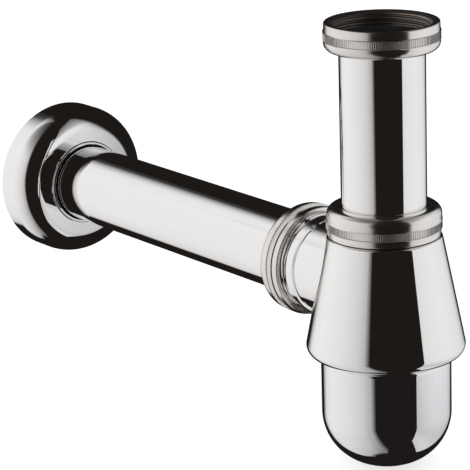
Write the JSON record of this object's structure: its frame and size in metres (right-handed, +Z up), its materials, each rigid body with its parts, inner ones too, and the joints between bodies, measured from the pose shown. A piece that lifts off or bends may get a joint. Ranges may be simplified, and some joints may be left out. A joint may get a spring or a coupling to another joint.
{
  "type": "bottle trap",
  "caption": "Chromed sink bottle trap with an upright inlet pipe, a bell-shaped body, a screw-on round cup and a straight outlet pipe to a wall rosette.",
  "frame": {"origin": "centre of the flat washer's top face inside the inlet coupling nut, where the sink waste's tail seals", "axes": "+Z up along the inlet pipe, towards the sink; +Y along the outlet pipe, towards the wall; +X completes the right-handed set"},
  "size_m": [0.08, 0.3295, 0.2133],
  "materials": {
    "polished_chrome": "mirror polished chrome plate on brass",
    "satin_chrome": "chrome plate on turned and knurled brass, slightly duller",
    "bare_brass": "turned brass",
    "black_rubber": "matt black rubber",
    "white_plastic": "moulded polypropylene"
  },
  "bodies": {
    "inlet_pipe": {"inlet_tube": "polished_chrome", "inlet_flat_washer": "black_rubber"},
    "coupling_nut": {"inlet_coupling_nut": "satin_chrome"},
    "inlet_gland": {"inlet_cone_seal": "black_rubber"},
    "bottle": {"body_bell": "polished_chrome", "body_neck": "bare_brass", "outlet_branch": "polished_chrome", "cup_socket_ring": "bare_brass", "dip_tube": "white_plastic", "dip_tube_seal": "black_rubber"},
    "inlet_nut_ring": {"inlet_friction_ring": "white_plastic"},
    "inlet_nut": {"inlet_slip_nut": "satin_chrome"},
    "cup_gasket": {"cup_seal": "black_rubber"},
    "cup": {"bottle_cup": "polished_chrome"},
    "outlet_nut_ring": {"outlet_friction_ring": "white_plastic"},
    "outlet_nut": {"outlet_slip_nut": "satin_chrome"},
    "outlet_gland": {"outlet_cone_seal": "black_rubber"},
    "outlet_pipe": {"outlet_tube": "polished_chrome"},
    "rosette_slider": {"rosette_grip_ring": "black_rubber"},
    "rosette": {"wall_rosette": "polished_chrome"}
  },
  "joints": [
    {"name": "coupling_nut_turn", "type": "hinge", "parent": "inlet_pipe", "child": "coupling_nut", "pos_m": [0, 0, 0], "axis": [0, 0, 1], "continuous": true},
    {"name": "height_adjust", "type": "slide", "parent": "inlet_pipe", "child": "inlet_gland", "axis": [0, 0, 1], "range_m": [-0.012, 0.06]},
    {"name": "body_swivel", "type": "hinge", "parent": "inlet_gland", "child": "bottle", "pos_m": [0, 0, -0.09], "axis": [0, 0, 1], "continuous": true},
    {"name": "inlet_nut_rise", "type": "slide", "parent": "bottle", "child": "inlet_nut_ring", "axis": [0, 0, 1], "range_m": [0, 0.00924]},
    {"name": "inlet_nut_turn", "type": "hinge", "parent": "inlet_nut_ring", "child": "inlet_nut", "pos_m": [0, 0, -0.086], "axis": [0, 0, 1], "range_deg": [0, 1440]},
    {"name": "cup_drop", "type": "slide", "parent": "bottle", "child": "cup_gasket", "axis": [0, 0, -1], "range_m": [0, 0.007]},
    {"name": "cup_unscrew", "type": "hinge", "parent": "cup_gasket", "child": "cup", "pos_m": [0, 0, -0.146], "axis": [0, 0, -1], "range_deg": [0, 1260]},
    {"name": "outlet_nut_back_off", "type": "slide", "parent": "bottle", "child": "outlet_nut_ring", "axis": [0, 1, 0], "range_m": [0, 0.00924]},
    {"name": "outlet_nut_turn", "type": "hinge", "parent": "outlet_nut_ring", "child": "outlet_nut", "pos_m": [0, 0.0557, -0.1178], "axis": [0, 1, 0], "range_deg": [0, 1440]},
    {"name": "outlet_pipe_turn", "type": "hinge", "parent": "bottle", "child": "outlet_gland", "pos_m": [0, 0.055, -0.1178], "axis": [0, 1, 0], "continuous": true},
    {"name": "outlet_pipe_slide", "type": "slide", "parent": "outlet_gland", "child": "outlet_pipe", "axis": [0, 1, 0], "range_m": [-0.008, 0.012]},
    {"name": "rosette_slide", "type": "slide", "parent": "outlet_pipe", "child": "rosette_slider", "axis": [0, 1, 0], "range_m": [-0.17, 0]},
    {"name": "rosette_turn", "type": "hinge", "parent": "rosette_slider", "child": "rosette", "pos_m": [0, 0.2525, -0.1178], "axis": [0, 1, 0], "continuous": true}
  ],
  "couplings": [
    {"joint": "inlet_nut_rise", "follows": "inlet_nut_turn", "m_per_rad": 0.00036749},
    {"joint": "cup_drop", "follows": "cup_unscrew", "m_per_rad": 0.00031831},
    {"joint": "outlet_nut_back_off", "follows": "outlet_nut_turn", "m_per_rad": 0.00036749}
  ]
}
